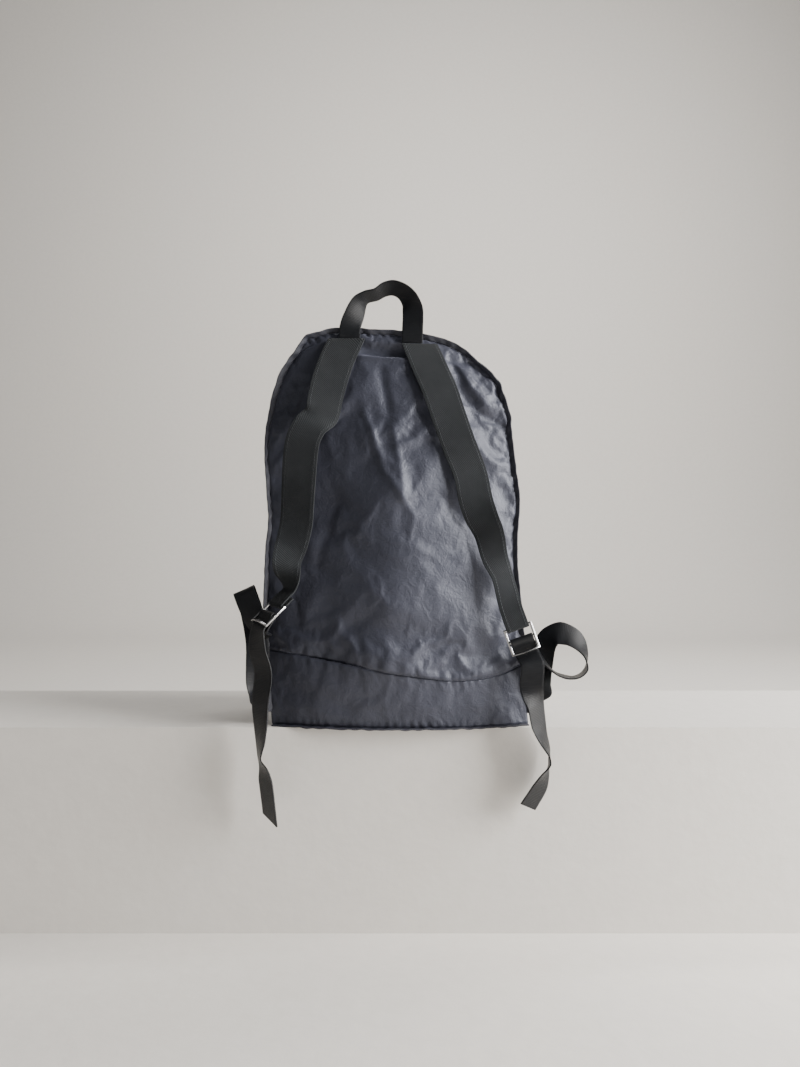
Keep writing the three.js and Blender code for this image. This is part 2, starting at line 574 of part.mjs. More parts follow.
function addGusset() {
  const side = (name, from, to) => {
    const rows = Math.round(to - from);
    addCloth(name, 'nylon', counts.gussetColumns, rows, (i, j) => {
      const k = mix(from, to, j / rows);
      const inset = seamInset / gussetWidth(k);
      return gussetPoint(k, mix(1 - inset, inset, i / counts.gussetColumns));
    }, clothWall);
  };
  side('side_panel_left', 0, counts.zipStart - joinGap);
  side('side_panel_right', zipEnd + joinGap, archLength);
  const strip = (name, shareFrom, shareTo) => {
    const rows = zipEnd - counts.zipStart;
    addCloth(name, 'nylon', 2, rows, (i, j) => {
      const k = clamp(counts.zipStart + j, counts.zipStart + joinGap, zipEnd - joinGap);
      return gussetPoint(k, mix(shareTo(k), shareFrom(k), i / 2));
    }, clothWall);
  };
  const half = (k) => (zipWidth / 2 + clearance) / gussetWidth(k);
  const inset = (k) => seamInset / gussetWidth(k);
  strip('top_strip_back', inset, (k) => 0.5 - half(k));
  strip('top_strip_front', (k) => 0.5 + half(k), (k) => 1 - inset(k));
}

function addZip() {
  const stations = (width, thickness, lift, ends) => {
    const list = [];
    for (let s = counts.zipStart; s <= zipEnd; s += 1) {
      const k = clamp(s, counts.zipStart + ends, zipEnd - ends);
      list.push({
        middle: gussetPoint(k, 0.5, lift),
        across: onArch(frontArch, k).sub(onArch(harnessArch, k)).normalize(),
        width,
        thickness,
      });
    }
    return list;
  };
  const teethLift = zipTapeThickness / 2 + clearance + teethThickness / 2 - clothWall / 2;
  addStrip('zip_tape', 'zip', stations(zipWidth, zipTapeThickness, -clothWall / 2, 3 * joinGap));
  addStrip('zip_teeth', 'zip', stations(teethWidth, teethThickness, teethLift, 0.8));
  const sliderStation = counts.zipStart + 2.5;
  const sliderLift = teethLift + teethThickness / 2 + clearance + sliderThickness / 2;
  const middle = gussetPoint(sliderStation, 0.5, sliderLift);
  const run = gussetPoint(sliderStation - 0.5, 0.5).sub(gussetPoint(sliderStation + 0.5, 0.5)).normalize();
  const across = onArch(frontArch, sliderStation).sub(onArch(harnessArch, sliderStation)).normalize();
  const ends = [-0.5, -0.2, 0.3, 0.5];
  const widths = [0.7, 1, 1, 0.6];
  addStrip('zip_slider', 'metal', ends.map((share, k) => ({
    middle: middle.clone().addScaledVector(run, share * sliderLength),
    across,
    width: widths[k] * sliderWidth,
    thickness: sliderThickness,
  })));
  const pullStart = middle.clone().addScaledVector(run, sliderLength / 2 + clearance);
  const out = gussetOutward(sliderStation);
  addStrip('zip_pull', 'webbing', [0, 0.4, 1].map((share) => ({
    middle: pullStart.clone().addScaledVector(run, share * pullLength)
      .addScaledVector(out, Math.sin(share * Math.PI / 2) * webbingThickness),
    across,
    width: sliderWidth * 0.6,
    thickness: webbingThickness,
  })));
}

// Bindings stand out from the seams. Up the sides and over the top they halve the angle
// between the two cloths, and along the base they stand level, clear of the ground.
function seamOutward(arch, other, k) {
  const run = onArch(arch, Math.min(k + 1, archLength)).sub(onArch(arch, Math.max(k - 1, 0))).normalize();
  const panel = arch === harnessArch ? harnessPoint : frontPoint;
  const level = onArch(arch, k).sub(panel(...archSpot(k, 0.04))).normalize();
  level.add(onArch(arch, k).sub(onArch(other, k)).normalize());
  return level.addScaledVector(run, -level.dot(run)).normalize();
}

function addArchBinding(name, arch, other, ruffle, perStation) {
  const start = 0.5;
  const stations = [];
  const count = Math.round((archLength - 2 * start) * perStation);
  for (let s = 0; s <= count; s += 1) {
    const k = mix(start, archLength - start, s / count);
    const out = seamOutward(arch, other, k);
    const before = onArch(arch, Math.max(k - 0.5, 0));
    const run = onArch(arch, Math.min(k + 0.5, archLength)).sub(before).normalize();
    const sway = new THREE.Vector3().crossVectors(run, out);
    const wave = ruffle * Math.sin(s * ruffleTurn) * Math.cos((s * ruffleTurn) / 3);
    const edge = onArch(arch, k).addScaledVector(out, bindingStandOff + bindingWidth / 2);
    stations.push({
      middle: edge.addScaledVector(sway, wave),
      across: out,
      width: bindingWidth,
      thickness: bindingThickness,
    });
  }
  addStrip(name, 'binding', stations);
}

function addBaseBinding(name, spot, direction) {
  const stations = [];
  for (let s = 0; s <= counts.topColumns; s += 1) {
    const middle = spot(-1 + (2 * s) / counts.topColumns);
    middle.y += direction * (bindingStandOff + bindingWidth / 2);
    middle.z = bindingThickness / 2 + clearance / 2;
    const across = point(0, direction, 0);
    stations.push({ middle, across, width: bindingWidth, thickness: bindingThickness });
  }
  addStrip(name, 'binding', stations);
}

// Harness pieces

// Place on the harness side in front of x and z, without its folds
function clothBehind(x, z) {
  const up = clamp(z / bodyHeight, 0, 1);
  const left = along(outline, 'up', 'left', up) * bodyWidth;
  const right = along(outline, 'up', 'right', up) * bodyWidth;
  const across = clamp((2 * (x - left)) / (right - left) - 1, -1, 1);
  const seamHeight = bandHeight(across);
  const rise = z < seamHeight
    ? (bandShare * z) / seamHeight
    : mix(bandShare, 1, (z - seamHeight) / (topHeight(across) - seamHeight));
  return harnessPoint(across, clamp(rise, 0, 1), false).y;
}

// A buckle's own frame: its middle, the run of its bars, up the strap, and outwards
function buckleFrame(buckle) {
  const bar = point(...buckle.bar).normalize();
  const up = point(...buckle.along);
  up.addScaledVector(bar, -up.dot(bar)).normalize();
  const out = new THREE.Vector3().crossVectors(bar, up);
  const middle = point(buckle.out * bodyWidth, -buckle.fore * bodyDepth, buckle.up * bodyHeight);
  const place = (a, v, n) => middle.clone()
    .addScaledVector(bar, a).addScaledVector(up, v).addScaledVector(out, n);
  return { middle, bar, up, out, place };
}

const barReach = buckleHeight / 2 - buckleBar / 2;
const railReach = webbingWidth / 2 + clearance + buckleBar / 2;

// One bar of a buckle as a closed rod of six sides along points in the buckle's frame
function buckleRod(frame, spots) {
  const places = spots.map(([a, v, n]) => frame.place(a, v, n));
  const path = new THREE.CatmullRomCurve3(places, false, 'catmullrom', 0.5);
  const section = new THREE.Shape();
  section.absellipse(0, 0, buckleDepth / 2, buckleBar / 2, 0, 2 * Math.PI);
  const geometry = new THREE.ExtrudeGeometry(section, {
    curveSegments: 3,
    steps: spots.length === 2 ? 1 : 2 * (spots.length - 1),
    extrudePath: path,
    bevelEnabled: false,
  });
  return solidOf(geometry);
}

function solidOf(geometry) {
  geometry.deleteAttribute('normal');
  geometry.deleteAttribute('uv');
  const merged = mergeVertices(geometry, 1e-4);
  return new wasm.Manifold(new wasm.Mesh({
    numProp: 3,
    vertProperties: merged.attributes.position.array,
    triVerts: new Uint32Array(merged.index.array),
  }));
}

function geometryOf(solid) {
  const mesh = solid.getMesh();
  const geometry = new THREE.BufferGeometry();
  geometry.setAttribute('position', new THREE.BufferAttribute(new Float32Array(mesh.vertProperties), 3));
  geometry.setIndex(new THREE.BufferAttribute(new Uint32Array(mesh.triVerts), 1));
  geometry.computeVertexNormals();
  return geometry;
}

function addBuckle(name, frame) {
  const ends = railReach + buckleBar * 0.3;
  const rods = [
    [[-ends, barReach, 0], [ends, barReach, 0]],
    [[-ends, 0, 0], [ends, 0, 0]],
    [[-ends, -barReach, 0], [-ends / 2, -barReach, buckleBow], [0, -barReach, buckleBow * 1.3],
      [ends / 2, -barReach, buckleBow], [ends, -barReach, 0]],
  ];
  for (const side of [-1, 1]) {
    rods.push([[side * railReach, barReach + buckleBar * 0.3, 0], [side * railReach, 0, 0],
      [side * railReach, -barReach - buckleBar * 0.3, 0]]);
  }
  const solids = rods.map((spots) => buckleRod(frame, spots));
  addMesh(name, 'metal', geometryOf(solids.reduce((whole, rod) => whole.add(rod))));
}

// A strap's route on the harness side, from its end sewn level under the top seam to the
// other end, folded round the buckle's top bar
function addShoulderStrap(name, route, frame) {
  const endWidth = webbingWidth - 2 * clearance;
  const chosen = route.map((row) => {
    const x = row.across * bodyWidth;
    const z = row.up * bodyHeight;
    const y = clothBehind(x, z) - row.off * strapStandOff - strapThickness / 2;
    const reach = strapWidth / 3;
    const slope = (clothBehind(x + reach, z) - clothBehind(x - reach, z)) / (2 * reach);
    const turn = THREE.MathUtils.degToRad(row.turn);
    const across = point(1, slope, 0).applyAxisAngle(point(0, 0, 1), turn).normalize();
    return { middle: point(x, y, z), across, width: row.wide * strapWidth, thickness: strapThickness };
  });
  const wrap = buckleDepth / 2 + clearance + strapThickness / 2;
  const fold = [[34, wrap + 0.4], [24, wrap + 0.2], [barReach + 2, wrap]];
  for (const degrees of [-15, -55, -90, -125, -165]) {
    const angle = THREE.MathUtils.degToRad(degrees);
    fold.push([barReach + Math.sin(angle) * wrap, Math.cos(angle) * wrap]);
  }
  const doubled = strapThickness + clearance - wrap - 0.4;
  fold.push([barReach + 5, Math.min(-wrap + 0.3, -doubled)], [barReach + 14, -wrap + 0.3]);
  for (const [v, n] of fold) {
    const middle = frame.place(0, v, n);
    chosen.push({ middle, across: frame.bar.clone(), width: endWidth, thickness: strapThickness });
  }
  const stations = smoothStations(chosen, ribbonStep);
  const [sewn, next] = stations;
  const run = next.middle.clone().sub(sewn.middle).normalize();
  const side = sewn.across.clone().addScaledVector(run, -sewn.across.dot(run)).normalize();
  sewn.slant = (-side.z / run.z) * (sewn.width / 2);
  addStrip(name, 'twill', stations);
}

// The adjuster webbing: seam, slack loop, round the buckle's middle bar, free tail
function addAdjuster(name, side, frame, slackRoute, tailRoute, tailDrop) {
  const width = webbingWidth - 2 * clearance;
  const station = (middle, across) => ({ middle, across, width, thickness: webbingThickness });
  const routed = (row, size) => station(
    frame.middle.clone().add(point(row.out * size, row.back * size, row.up * size)),
    point(row.x, row.y, row.z).normalize(),
  );
  const chosen = [];
  const seam = side < 0 ? (k) => k : (k) => archLength - k;
  let k = 0;
  while (onArch(harnessArch, seam(k)).z < anchorHeight) k += 0.05;
  const out = seamOutward(harnessArch, frontArch, seam(k));
  const sewn = bindingStandOff + bindingWidth + 2 * clearance;
  for (const reach of [0, 4, 9]) {
    const middle = onArch(harnessArch, seam(k)).addScaledVector(out, sewn + reach);
    chosen.push(station(middle, point(0, 0, 1)));
  }
  for (const row of slackRoute) chosen.push(routed(row, slackReach));
  const layer = buckleDepth / 2 + clearance + webbingThickness / 2;
  const round = buckleBar / 2 + clearance + webbingThickness / 2;
  const threaded = [
    [-barReach + 1, -layer - webbingThickness - 2 * clearance],
    [-5, -layer - webbingThickness],
    [0, -layer - 0.3],
  ];
  for (const degrees of [45, 90, 135]) {
    const angle = THREE.MathUtils.degToRad(degrees);
    threaded.push([Math.sin(angle) * round, -Math.cos(angle) * layer]);
  }
  threaded.push([0, layer], [-2.6, layer - 0.5], [-5, 0.4], [-7.4, -1.6]);
  threaded.push([-barReach + 2.5, -layer], [-barReach - 3, -layer]);
  for (const [v, n] of threaded) chosen.push(station(frame.place(0, v, n), frame.bar.clone()));
  for (const row of tailRoute) chosen.push(routed(row, tailDrop));
  const stations = smoothStations(chosen, ribbonStep);
  stations[stations.length - 1].slant = side < 0 ? 5 : 0;
  addStrip(name, 'webbing', stations);
}

function addHandle() {
  const top = along(topEdge, 'across', 'up', -0.38) * bodyHeight;
  const seamBack = -along(depths, 'up', 'seamLeft', 1) * bodyDepth;
  const chosen = handleRoute.map((row) => {
    const x = row.across * bodyWidth;
    const z = top + row.rise * handleRise;
    const overBinding = seamBack - bindingWidth - bindingStandOff - clearance;
    const overCloth = clothBehind(x, z) - clearance - webbingThickness;
    const y = row.rise < 0 ? Math.min(overBinding, overCloth) : overBinding;
    const across = point(row.x, row.y, row.z).normalize();
    return { middle: point(x, y, z), across, width: handleWidth, thickness: webbingThickness };
  });
  addStrip('grab_handle', 'webbing', smoothStations(chosen, ribbonStep));
}

addHarnessSide();
addGusset();
addFront();
addBase();
addZip();
addArchBinding('binding_back_arch', harnessArch, frontArch, bindingRuffle, 2);
addArchBinding('binding_front_arch', frontArch, harnessArch, 0, 1);
addBaseBinding('binding_back_base', (across) => harnessPoint(across, 0), -1);
addBaseBinding('binding_front_base', (across) => frontPoint(across, 0), 1);
addHandle();
const leftFrame = buckleFrame(buckles.left);
const rightFrame = buckleFrame(buckles.right);
addBuckle('buckle_left', leftFrame);
addBuckle('buckle_right', rightFrame);
addShoulderStrap('shoulder_strap_left', leftStrapRoute, leftFrame);
addShoulderStrap('shoulder_strap_right', rightStrapRoute, rightFrame);
addAdjuster('adjuster_strap_left', -1, leftFrame, leftSlackRoute, leftTailRoute, leftTailDrop);
addAdjuster('adjuster_strap_right', 1, rightFrame, rightSlackRoute, rightTailRoute, rightTailDrop);

export default pack;
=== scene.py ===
# %% [markdown]
# # A packable backpack, dressed in Blender
#
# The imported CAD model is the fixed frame: every piece of the pack has its size and place
# there. This lesson gives each piece its cloth, webbing or metal. Thin nylon is shaped
# from the CAD cloth walls and crumpled, and everything that is a ribbon on the real pack
# is laid along the CAD ribbon of the same name.

# %% Load the frame
import math
from itertools import permutations

import bmesh
import bpy
import numpy as np
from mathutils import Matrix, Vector
from mathutils.bvhtree import BVHTree
from mathutils.kdtree import KDTree


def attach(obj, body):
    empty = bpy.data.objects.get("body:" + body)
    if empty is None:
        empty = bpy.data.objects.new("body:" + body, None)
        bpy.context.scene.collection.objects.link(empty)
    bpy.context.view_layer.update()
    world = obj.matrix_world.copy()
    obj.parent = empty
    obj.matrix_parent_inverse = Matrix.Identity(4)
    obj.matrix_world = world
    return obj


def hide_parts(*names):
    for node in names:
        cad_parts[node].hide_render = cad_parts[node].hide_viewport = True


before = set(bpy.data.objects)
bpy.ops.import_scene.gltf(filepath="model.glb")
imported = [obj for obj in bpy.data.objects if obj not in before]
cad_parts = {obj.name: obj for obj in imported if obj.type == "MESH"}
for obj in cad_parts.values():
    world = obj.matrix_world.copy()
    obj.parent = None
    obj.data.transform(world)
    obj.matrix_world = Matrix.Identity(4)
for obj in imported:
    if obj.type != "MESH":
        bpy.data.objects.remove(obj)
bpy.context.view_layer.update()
bpy.ops.object.select_all(action="DESELECT")
MM = 0.001

# %% [markdown]
# ## Camera
#
# The photograph was taken level, a short arm's length away, with a wide lens. Its camera
# could be found by trying, but the ledge in it gives the height and the distance, so the
# numbers are worked out once and typed here.

# %% Camera at the photograph's place
CAMERA_PLACE = (0.0, -0.915, 0.207)
LEVEL = (math.radians(90), 0, 0)
SENSOR_WIDTH, LENS = 36, 27.02
bpy.ops.object.camera_add(location=CAMERA_PLACE, rotation=LEVEL)
camera = bpy.context.object
camera.data.sensor_width = SENSOR_WIDTH
camera.data.lens = LENS
bpy.context.scene.camera = camera
print("camera", CAMERA_PLACE, "lens", camera.data.lens)

# %% [markdown]
# ## Stage and light
#
# The pack is seated on a ledge with its strap ends hanging past the edge, so the stage is
# a plain pale ledge over a plain pale floor. A window at the right gives the soft light.
# One large area lamp stands for it, a weaker one lifts the shaded side, and a third
# lights the backdrop alone.

# %% Ledge
LEDGE_FRONT, LEDGE_DEPTH, LEDGE_DROP, STAGE_HALF = -0.06, 0.2, 0.22, 6.0
SWEEP_FAR, SWEEP_HEIGHT, SWEEP_ROUND, SWEEP_STEPS = 3.2, 4.0, 0.9, 16
CLOSE = 0.01


def stage_box(name, low, high):
    """A plain box of the stage between two corners."""
    bpy.ops.object.select_all(action="DESELECT")
    bpy.ops.mesh.primitive_cube_add(size=1, location=(Vector(low) + Vector(high)) / 2)
    box = bpy.context.object
    box.name = name
    box.scale = Vector(high) - Vector(low)
    bpy.ops.object.transform_apply(location=True, rotation=True, scale=True)
    return box


ledge = stage_box(
    "ledge", (-STAGE_HALF, LEDGE_FRONT, -LEDGE_DROP), (STAGE_HALF, LEDGE_FRONT + LEDGE_DEPTH, 0)
)

# %% [markdown]
# The floor runs back and curves up into the backdrop, as a paper sweep does in a studio, so
# that no line shows behind the pack. A plane is the start: its far edge is pulled up, and
# the corner between the two is rounded with a bevel.

# %% Floor and backdrop
bpy.ops.object.select_all(action="DESELECT")
floor_middle = (0, (SWEEP_FAR - STAGE_HALF) / 2, -LEDGE_DROP)
bpy.ops.mesh.primitive_plane_add(size=1, location=floor_middle)
floor = bpy.context.object
floor.name = "floor"
floor.scale = (2 * STAGE_HALF, SWEEP_FAR + STAGE_HALF, 1)
bpy.ops.object.transform_apply(location=True, rotation=True, scale=True)
bpy.ops.object.mode_set(mode="EDIT")
bpy.ops.mesh.select_mode(type="EDGE")
bpy.ops.mesh.select_all(action="DESELECT")
sweep = bmesh.from_edit_mesh(floor.data)
for edge in sweep.edges:
    edge.select_set(all(vertex.co.y > SWEEP_FAR - CLOSE for vertex in edge.verts))
bmesh.update_edit_mesh(floor.data)
bpy.ops.mesh.extrude_region_move(TRANSFORM_OT_translate={"value": (0, 0, SWEEP_HEIGHT)})
for edge in sweep.edges:
    level = all(abs(vertex.co.z + LEDGE_DROP) < CLOSE for vertex in edge.verts)
    edge.select_set(level and all(vertex.co.y > SWEEP_FAR - CLOSE for vertex in edge.verts))
bmesh.update_edit_mesh(floor.data)
bpy.ops.mesh.bevel(offset=SWEEP_ROUND, segments=SWEEP_STEPS)
bpy.ops.object.mode_set(mode="OBJECT")
bpy.ops.object.shade_smooth()
print("floor", len(floor.data.polygons), "faces")

# %% [markdown]
# The room itself gives a little even light. The window does most of the work: it stands at
# the right and a little in front, so that the crumples throw soft shadows to the left.

# %% Sky and lamps
SKY_COLOUR, SKY_STRENGTH = (0.84, 0.84, 0.83, 1), 0.17
DAYLIGHT, SHADE_LIGHT = (1.0, 0.98, 0.95), (0.92, 0.95, 1.0)
world = bpy.data.worlds.new("soft_sky")
bpy.context.scene.world = world
world.use_nodes = True
sky = world.node_tree.nodes["Background"].inputs
sky["Color"].default_value = SKY_COLOUR
sky["Strength"].default_value = SKY_STRENGTH


def lamp(name, place, aim, size, power, colour):
    """A large soft area lamp at a place, turned towards a point. power is in watts."""
    bpy.ops.object.light_add(type="AREA", location=place)
    light = bpy.context.object
    light.name = name
    light.rotation_euler = (Vector(aim) - Vector(place)).to_track_quat("-Z", "Y").to_euler()
    light.data.shape = "RECTANGLE"
    light.data.size, light.data.size_y = size
    light.data.energy = power
    light.data.color = colour
    return light


lamp("window", (1.9, -0.62, 0.85), (0, 0, 0.22), (1.2, 1.6), power=150, colour=DAYLIGHT)
lamp("fill", (-1.8, -1.2, 0.8), (0, 0, 0.2), (1.5, 1.5), power=2, colour=SHADE_LIGHT)
lamp("backdrop", (0.5, 0.7, 2.4), (0.2, 3.2, 0.5), (2.5, 0.8), power=70, colour=DAYLIGHT)
print("stage and lamps are in place")

# %% [markdown]
# ## How the materials are written
#
# Every finish here is made of nodes. Adding and wiring them by hand takes many lines, so
# one small class stands for a socket: sums and products of sockets add Math nodes, and
# one method adds any other node.

# %% A socket that does arithmetic


class Wire:
    """An output of a material's nodes, or the material itself when it has no socket."""

    def __init__(self, tree, socket=None):
        self.tree = tree
        self.socket = socket

    def node(self, kind, inputs=None, output=0, **settings):
        """Adds a node: its settings first, then the values or links of its sockets."""
        made = self.tree.nodes.new(kind)
        for name, value in settings.items():
            setattr(made, name, value)
        for name, value in (inputs or {}).items():
            if isinstance(value, Wire):
                self.tree.links.new(value.socket, made.inputs[name])
            else:
                made.inputs[name].default_value = value
        return Wire(self.tree, made.outputs[output])

    def math(self, operation, *values):
        return self.node("ShaderNodeMath", dict(enumerate(values)), operation=operation)

    def __add__(self, other):
        return self.math("ADD", self, other)

    def __sub__(self, other):
        return self.math("SUBTRACT", self, other)

    def __rsub__(self, other):
        return self.math("SUBTRACT", other, self)

    def __mul__(self, other):
        return self.math("MULTIPLY", self, other)

    def __abs__(self):
        return self.math("ABSOLUTE", self)

    __radd__, __rmul__ = __add__, __mul__


def mixed(wire, share, first, second):
    """A colour between two others. Sockets 6 and 7 are the Mix node's two colours."""
    return wire.node(
        "ShaderNodeMix", {0: share, 6: first, 7: second}, output=2, data_type="RGBA"
    )


def object_place(wire):
    """The place on the piece itself, output 3 of the Texture Coordinate node."""
    return wire.node("ShaderNodeTexCoord", output=3)


def finish(name, look, **constants):
    """A material whose varying sockets come from look, and whose other sockets are fixed."""
    material = bpy.data.materials.new(name)
    material.use_nodes = True
    tree = material.node_tree
    shader = tree.nodes["Principled BSDF"]
    for socket, value in constants.items():
        shader.inputs[socket.replace("_", " ")].default_value = value
    for socket, value in look(Wire(tree)).items():
        tree.links.new(value.socket, shader.inputs[socket])
    return material


def noise(wire, place, scale, detail=2.0, roughness=0.5, warp=0.0):
    """Soft noise from 0 to 1, with so many spots to the metre."""
    inputs = {"Vector": place, "Scale": scale, "Detail": detail}
    inputs |= {"Roughness": roughness, "Distortion": warp}
    return wire.node("ShaderNodeTexNoise", inputs)


def waves(wire, place, pitch):
    """Waves from -1 to 1 along a coordinate, with so many metres from crest to crest."""
    return wire.math("SINE", place * (2 * math.pi / pitch))


def bump(wire, height, metres):
    """A relief in the shading alone, so many metres deep."""
    return wire.node("ShaderNodeBump", {"Height": height, "Distance": metres, "Strength": 1.0})


# %% [markdown]
# ## Plain stage finish
#
# The stage is only there to catch shadows, so it is a matt off-white with a little grain.

# %% Stage finish
PLASTER_DARK, PLASTER_PALE = (0.72, 0.69, 0.65, 1), (0.78, 0.75, 0.71, 1)


def plaster_look(wire):
    place = object_place(wire)
    grain = noise(wire, place, 60, detail=4)
    tone = mixed(wire, grain, PLASTER_DARK, PLASTER_PALE)
    return {"Base Color": tone, "Normal": bump(wire, grain, 0.4 * MM)}


plaster = finish("plain_plaster", plaster_look, Roughness=0.9)
for piece in (ledge, floor):
    piece.data.materials.append(plaster)

# %% [markdown]
# ## Finishes of the pack
#
# The body is thin slick nylon that was folded small many times, so it carries a net of
# sharp creases over soft rumples. The folds are in the mesh, so the nodes only add the
# fine crinkles and the cloudy shine.

# %% Crumpled nylon
NYLON_DARK, NYLON_PALE = (0.024, 0.0255, 0.037, 1), (0.038, 0.040, 0.057, 1)
NYLON_RELIEF = 1.0 * MM


def nylon_look(wire):
    place = object_place(wire)
    soft = noise(wire, place, 60, detail=3.0, roughness=0.55, warp=0.8)
    crinkle = noise(wire, place, 190, detail=4.0, roughness=0.62, warp=1.0)
    weave = noise(wire, place, 2400, detail=0.0)
    cloudy = noise(wire, place, 14, detail=3.0)
    tone = mixed(wire, cloudy, NYLON_DARK, NYLON_PALE)
    return {
        "Base Color": tone,
        "Roughness": 0.45 + noise(wire, place, 22) * 0.12,
        "Normal": bump(wire, soft + crinkle * 0.45 + weave * 0.04, NYLON_RELIEF),
    }


nylon = finish(
    "crumpled_nylon",
    nylon_look,
    Specular_IOR_Level=0.58,
    Sheen_Weight=0.26,
    Sheen_Roughness=0.4,
    Specular_Tint=(0.84, 0.88, 1.0, 1),
    Sheen_Tint=(0.7, 0.74, 0.95, 1),
)

# %% [markdown]
# A ribbon is woven along its run: webbing has ribs across it, the strap tape a fine slanting
# twill, and the binding small ribs. Their patterns are waves on the ribbon's own flat
# coordinates, in metres, so they bend with the ribbon and keep their true pitch. A second
# set of coordinates tells how far the ribbon's edge is, and carries the rows of stitches.

# %% Webbing, twill and binding tape
STITCH_INSET, STITCH_WIDTH, STITCH_PITCH = 3.2 * MM, 0.7 * MM, 3.4 * MM
STITCH_ROUND, STITCH_SHARE = 0.2, 0.4
STITCH_COLOUR = (0.060, 0.066, 0.074, 1)
WEBBING_RIBS, WEBBING_CORDS = 1.6 * MM, 1.1 * MM
WEBBING_DARK, WEBBING_PALE = (0.0025, 0.003, 0.0045, 1), (0.0055, 0.0065, 0.009, 1)
TWILL_PITCH, TWILL_SLANT = 1.9 * MM, 0.55
TWILL_DARK, TWILL_PALE = (0.012, 0.0135, 0.016, 1), (0.025, 0.028, 0.031, 1)
BINDING_RIBS = 1.2 * MM
BINDING_DARK, BINDING_PALE = (0.019, 0.020, 0.030, 1), (0.034, 0.036, 0.052, 1)


def ribbon_place(wire, name="flat"):
    """A ribbon's own map in metres: both coordinates together, the first, and the second."""
    uv = wire.node("ShaderNodeUVMap", uv_map=name)
    first = wire.node("ShaderNodeSeparateXYZ", {0: uv})
    return uv, first, Wire(wire.tree, first.socket.node.outputs[1])


def stitches(wire):
    """Rows of stitches close to a ribbon's edges, from 0 between them to 1 on the thread."""
    _, away, run = ribbon_place(wire, "edge")
    thread = (STITCH_WIDTH - abs(away - STITCH_INSET)) * (2 / STITCH_WIDTH)
    row = wire.math("SMOOTH_MIN", 1.0, thread, STITCH_ROUND)
    dash = waves(wire, run, STITCH_PITCH) * 2 + 1
    dash = wire.math("MINIMUM", wire.math("MAXIMUM", dash, 0.0), 1.0)
    return wire.math("MAXIMUM", row, 0.0) * dash


def webbing_look(wire):
    uv, across, along = ribbon_place(wire)
    cloth = waves(wire, along, WEBBING_RIBS) * 0.5 + waves(wire, across, WEBBING_CORDS) * 0.35
    wear = noise(wire, uv, 90, detail=3.0)
    return {
        "Base Color": mixed(wire, wear, WEBBING_DARK, WEBBING_PALE),
        "Roughness": 0.34 + wear * 0.14,
        "Normal": bump(wire, cloth + wear * 0.6, 0.12 * MM),
    }


def twill_look(wire):
    uv, across, along = ribbon_place(wire)
    rib = waves(wire, across * TWILL_SLANT + along, TWILL_PITCH)
    wear = noise(wire, uv, 55, detail=4.0, roughness=0.6)
    tone = mixed(wire, wear, TWILL_DARK, TWILL_PALE)
    sewn = stitches(wire)
    return {
        "Base Color": mixed(wire, sewn * STITCH_SHARE, tone, STITCH_COLOUR),
        "Roughness": 0.80 + wear * 0.12,
        "Normal": bump(wire, rib * 0.5 + wear * 2.2 + sewn * 1.6, 0.28 * MM),
    }


def binding_look(wire):
    uv, _, along = ribbon_place(wire)
    ribs = waves(wire, along, BINDING_RIBS)
    wear = noise(wire, uv, 120, detail=2.0)
    return {
        "Base Color": mixed(wire, wear, BINDING_DARK, BINDING_PALE),
        "Roughness": 0.50 + wear * 0.15,
        "Normal": bump(wire, ribs * 0.4 + wear * 1.5, 0.25 * MM),
    }


webbing = finish("black_webbing", webbing_look, Specular_IOR_Level=0.28, Sheen_Weight=0.03)
twill = finish(
    "black_twill", twill_look, Specular_IOR_Level=0.2, Sheen_Weight=0.06, Sheen_Roughness=0.5
)
binding = finish("binding_tape", binding_look, Specular_IOR_Level=0.5)

# %% [markdown]
# The buckles are plated steel or zinc, rubbed a little by the webbing, so their roughness
# varies in small spots. The zip's coil is nylon thread.

# %% Metal and thread
NICKEL_DARK, NICKEL_PALE = (0.30, 0.30, 0.31, 1), (0.44, 0.44, 0.45, 1)
THREAD_DARK, THREAD_PALE = (0.012, 0.013, 0.016, 1), (0.030, 0.032, 0.038, 1)


def nickel_look(wire):
    place = object_place(wire)
    rubbed = noise(wire, place, 260, detail=3.0)
    return {
        "Base Color": mixed(wire, rubbed, NICKEL_DARK, NICKEL_PALE),
        "Roughness": 0.16 + rubbed * 0.16,
        "Normal": bump(wire, rubbed, 0.04 * MM),
    }


def thread_look(wire):
    place = object_place(wire)
    twist = noise(wire, place, 1500, detail=1.0)
    tone = mixed(wire, twist, THREAD_DARK, THREAD_PALE)
    return {"Base Color": tone, "Roughness": 0.5 + twist * 0.2}


nickel = finish("polished_nickel", nickel_look, Metallic=1.0)
thread = finish("black_thread", thread_look, Sheen_Weight=0.2)
print("finishes:", [material.name for material in bpy.data.materials])

# %% [markdown]
# ## Cloth of the body
#
# Each cloth of the body is a thin wall in the CAD model. Its outer face is picked by
# growing a selection over faces that meet almost flat, everything else is deleted, and
# what is left is subdivided, crumpled and given its thickness back.

# %% Pick a CAD cloth's outer face
WELD = 0.02 * MM
FACING_SHARE = 0.7
FLAT_ANGLE, QUAD_ANGLE, QUAD_SHAPE = (math.radians(degrees) for degrees in (62, 80, 120))


def choose(piece):
    """Makes a piece the only selected one, and the active one."""
    bpy.ops.object.select_all(action="DESELECT")
    piece.select_set(True)
    bpy.context.view_layer.objects.active = piece


def apply_modifiers(piece):
    choose(piece)
    for modifier in list(piece.modifiers):
        bpy.ops.object.modifier_apply(modifier=modifier.name)


def add_modifier(piece, kind, **settings):
    modifier = piece.modifiers.new(kind.lower(), kind)
    for name, value in settings.items():
        setattr(modifier, name, value)


